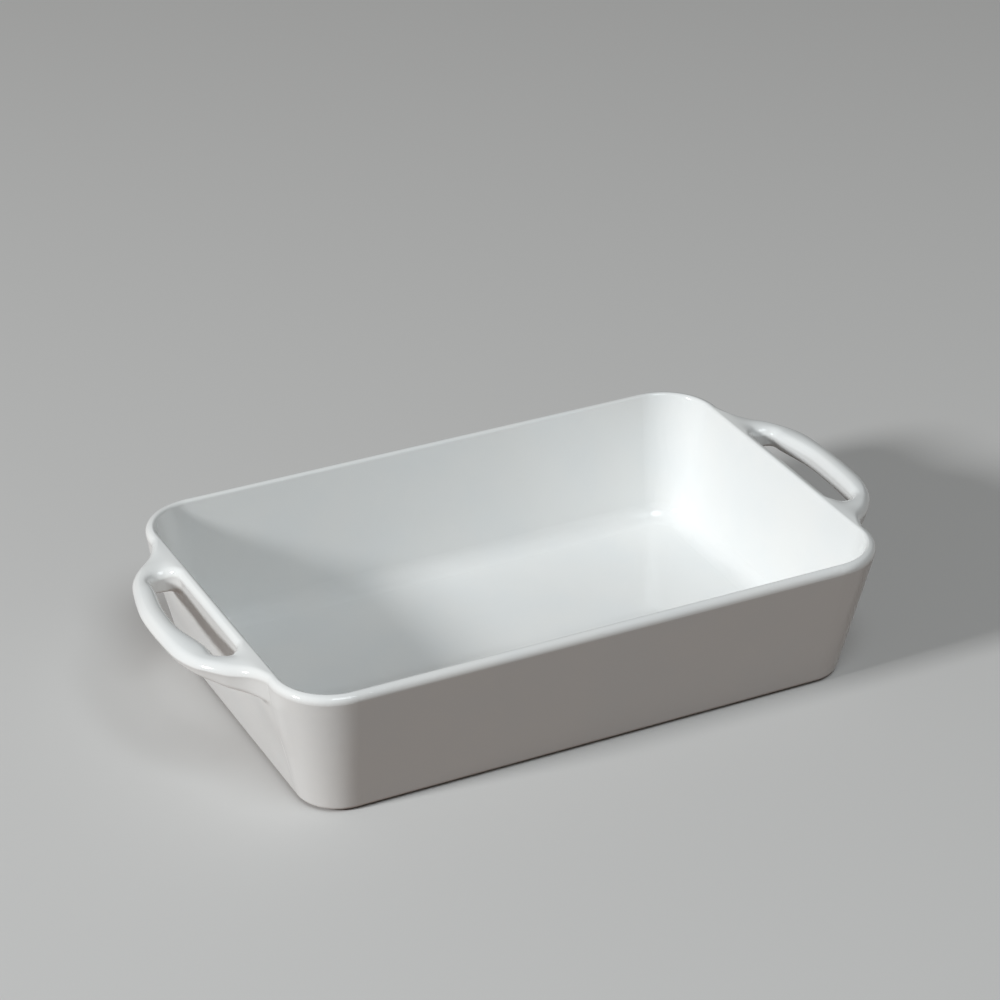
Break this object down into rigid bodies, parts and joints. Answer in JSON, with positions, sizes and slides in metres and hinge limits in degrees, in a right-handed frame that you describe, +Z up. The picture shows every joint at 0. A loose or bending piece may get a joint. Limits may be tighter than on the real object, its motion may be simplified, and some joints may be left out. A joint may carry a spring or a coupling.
{
  "type": "lasagna dish",
  "caption": "Deep rectangular glazed stoneware baking dish with leaning walls, rounded corners and a loop handle at each short end.",
  "frame": {"origin": "centre of the foot ring, on the surface that the dish stands on", "axes": "+X along the long side towards the right handle, +Y across the dish, +Z up"},
  "size_m": [0.4222, 0.2342, 0.0804],
  "materials": {
    "white_glaze": "glossy opaque white glaze over fired stoneware",
    "bare_stoneware": "matt unglazed stoneware, ground flat"
  },
  "bodies": {
    "root": {"dish_body": "white_glaze", "handle_left": "white_glaze", "handle_right": "white_glaze", "foot_ring": "bare_stoneware"}
  },
  "joints": []
}
